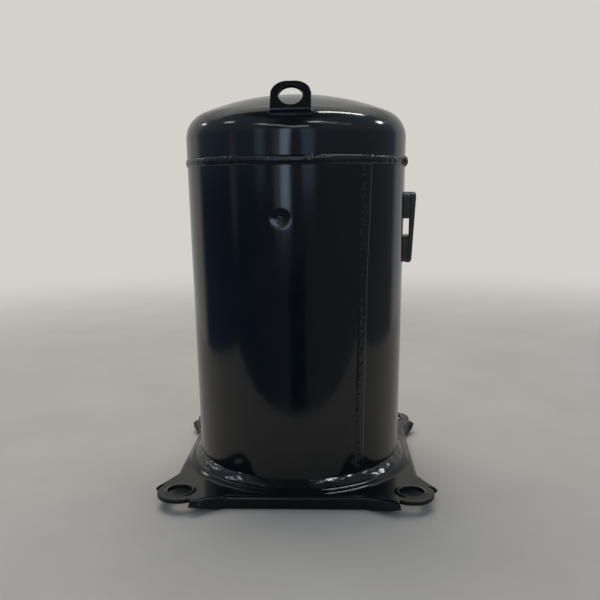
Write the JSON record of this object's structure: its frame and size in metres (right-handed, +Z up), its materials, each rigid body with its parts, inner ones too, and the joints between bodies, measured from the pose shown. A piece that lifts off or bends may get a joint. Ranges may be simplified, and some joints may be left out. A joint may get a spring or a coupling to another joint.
{
  "type": "scroll compressor",
  "caption": "Hermetic scroll compressor: domed black welded shell on a four-foot base, lifting lug, terminal fence, refrigerant stubs, motor and orbiting scroll inside.",
  "frame": {"origin": "on the shell axis, in the plane the base flanges stand on", "axes": "+Z up along the shell and crankshaft axis, -Y to the front (lifting lug), +X to the side nearest the terminal fence"},
  "size_m": [0.239, 0.239, 0.3284],
  "materials": {
    "shell_tube_mat": "gloss black baked paint over deep-drawn and rolled steel, light orange peel",
    "seam_weld_mat": "gloss black paint over a rippled weld bead",
    "plug_welds_mat": "gloss black paint over a rippled weld bead",
    "top_cap_mat": "gloss black baked paint over deep-drawn and rolled steel, light orange peel",
    "girth_weld_mat": "gloss black paint over a rippled weld bead",
    "base_plate_mat": "gloss black baked paint over deep-drawn and rolled steel, light orange peel",
    "base_weld_mat": "gloss black paint over a rippled weld bead",
    "lifting_lug_mat": "gloss black baked paint over deep-drawn and rolled steel, light orange peel",
    "lug_welds_mat": "gloss black paint over a rippled weld bead",
    "terminal_fence_mat": "gloss black baked paint over deep-drawn and rolled steel, light orange peel",
    "terminal_body_mat": "plated steel terminal cup, slightly dull",
    "terminal_glass_mat": "fused glass bead, dark green",
    "terminal_pins_mat": "plated copper-cored pin with a flat blade",
    "ground_stud_mat": "gloss black baked paint over deep-drawn and rolled steel, light orange peel",
    "ground_screw_mat": "green dyed zinc plating",
    "suction_fitting_mat": "copper-plated steel tube, satin",
    "discharge_fitting_mat": "copper-plated steel tube, satin",
    "fitting_brazes_mat": "brazing alloy, matte and slightly oxidised",
    "partition_mat": "unpainted steel stamping with an oil film",
    "main_bearing_housing_mat": "machined grey cast iron",
    "main_bearing_mat": "lead-bronze lined bushing",
    "thrust_plate_mat": "ground hardened steel",
    "guide_bolts_mat": "black oxide steel",
    "guide_sleeves_mat": "ground hardened steel",
    "counterweight_shield_mat": "moulded dark thermoplastic",
    "suction_deflector_mat": "unpainted steel stamping with an oil film",
    "lower_bearing_housing_mat": "machined grey cast iron",
    "lower_bearing_mat": "lead-bronze lined bushing",
    "lower_thrust_plate_mat": "ground hardened steel",
    "stator_core_mat": "stacked electrical steel laminations",
    "slot_coils_mat": "enamelled copper wire laced with cord and varnished",
    "winding_upper_mat": "enamelled copper wire laced with cord and varnished",
    "winding_lower_mat": "enamelled copper wire laced with cord and varnished",
    "motor_protector_mat": "moulded dark thermoplastic",
    "motor_leads_mat": "woven polyester sleeving",
    "terminal_plug_mat": "moulded dark thermoplastic",
    "sump_magnet_mat": "sintered magnet",
    "crankshaft_mat": "ground hardened steel",
    "rotor_core_mat": "stacked electrical steel laminations",
    "rotor_cage_mat": "die-cast aluminium",
    "counterweight_upper_mat": "machined grey cast iron",
    "counterweight_lower_mat": "machined grey cast iron",
    "oil_pickup_mat": "unpainted steel stamping with an oil film",
    "drive_bushing_mat": "ground hardened steel",
    "orbiting_scroll_mat": "finely machined grey iron",
    "drive_bearing_mat": "lead-bronze lined bushing",
    "oldham_ring_mat": "die-cast aluminium",
    "non_orbiting_scroll_mat": "finely machined grey iron",
    "valve_guard_mat": "unpainted steel stamping with an oil film",
    "discharge_valve_mat": "ground hardened steel",
    "seal_lower_plate_mat": "machined grey cast iron",
    "seal_lips_mat": "filled PTFE lip ring",
    "seal_upper_plate_mat": "finely machined grey iron"
  },
  "bodies": {
    "shell": {"shell_tube": "shell_tube_mat", "seam_weld": "seam_weld_mat", "plug_welds": "plug_welds_mat", "top_cap": "top_cap_mat", "girth_weld": "girth_weld_mat", "base_plate": "base_plate_mat", "base_weld": "base_weld_mat", "lifting_lug": "lifting_lug_mat", "lug_welds": "lug_welds_mat", "terminal_fence": "terminal_fence_mat", "terminal_body": "terminal_body_mat", "terminal_glass": "terminal_glass_mat", "terminal_pins": "terminal_pins_mat", "ground_stud": "ground_stud_mat", "ground_screw": "ground_screw_mat", "suction_fitting": "suction_fitting_mat", "discharge_fitting": "discharge_fitting_mat", "fitting_brazes": "fitting_brazes_mat", "partition": "partition_mat", "main_bearing_housing": "main_bearing_housing_mat", "main_bearing": "main_bearing_mat", "thrust_plate": "thrust_plate_mat", "guide_bolts": "guide_bolts_mat", "guide_sleeves": "guide_sleeves_mat", "counterweight_shield": "counterweight_shield_mat", "suction_deflector": "suction_deflector_mat", "lower_bearing_housing": "lower_bearing_housing_mat", "lower_bearing": "lower_bearing_mat", "lower_thrust_plate": "lower_thrust_plate_mat", "stator_core": "stator_core_mat", "slot_coils": "slot_coils_mat", "winding_upper": "winding_upper_mat", "winding_lower": "winding_lower_mat", "motor_protector": "motor_protector_mat", "motor_leads": "motor_leads_mat", "terminal_plug": "terminal_plug_mat", "sump_magnet": "sump_magnet_mat"},
    "crank": {"crankshaft": "crankshaft_mat", "rotor_core": "rotor_core_mat", "rotor_cage": "rotor_cage_mat", "counterweight_upper": "counterweight_upper_mat", "counterweight_lower": "counterweight_lower_mat", "oil_pickup": "oil_pickup_mat", "drive_bushing": "drive_bushing_mat"},
    "orbiter": {"orbiting_scroll": "orbiting_scroll_mat", "drive_bearing": "drive_bearing_mat"},
    "oldham": {"oldham_ring": "oldham_ring_mat"},
    "upper_scroll": {"non_orbiting_scroll": "non_orbiting_scroll_mat", "valve_guard": "valve_guard_mat"},
    "valve_disc": {"discharge_valve": "discharge_valve_mat"},
    "float_seal": {"seal_lower_plate": "seal_lower_plate_mat", "seal_lips": "seal_lips_mat", "seal_upper_plate": "seal_upper_plate_mat"}
  },
  "joints": [
    {"name": "crank_spin", "type": "hinge", "parent": "shell", "child": "crank", "pos_m": [0, 0, 0.03], "axis": [0, 0, 1], "continuous": true},
    {"name": "orbit_counter", "type": "hinge", "parent": "crank", "child": "orbiter", "pos_m": [0.0045, 0, 0.222], "axis": [0, 0, 1], "continuous": true},
    {"name": "oldham_slide", "type": "slide", "parent": "shell", "child": "oldham", "axis": [1, 0, 0], "range_m": [-0.009, 0]},
    {"name": "scroll_float", "type": "slide", "parent": "shell", "child": "upper_scroll", "axis": [0, 0, 1], "range_m": [0, 0.001]},
    {"name": "valve_lift", "type": "slide", "parent": "upper_scroll", "child": "valve_disc", "axis": [0, 0, 1], "range_m": [0, 0.0035]},
    {"name": "seal_float", "type": "slide", "parent": "shell", "child": "float_seal", "axis": [0, 0, 1], "range_m": [0, 0.001]}
  ],
  "couplings": [
    {"joint": "orbit_counter", "follows": "crank_spin", "ratio": -1}
  ]
}
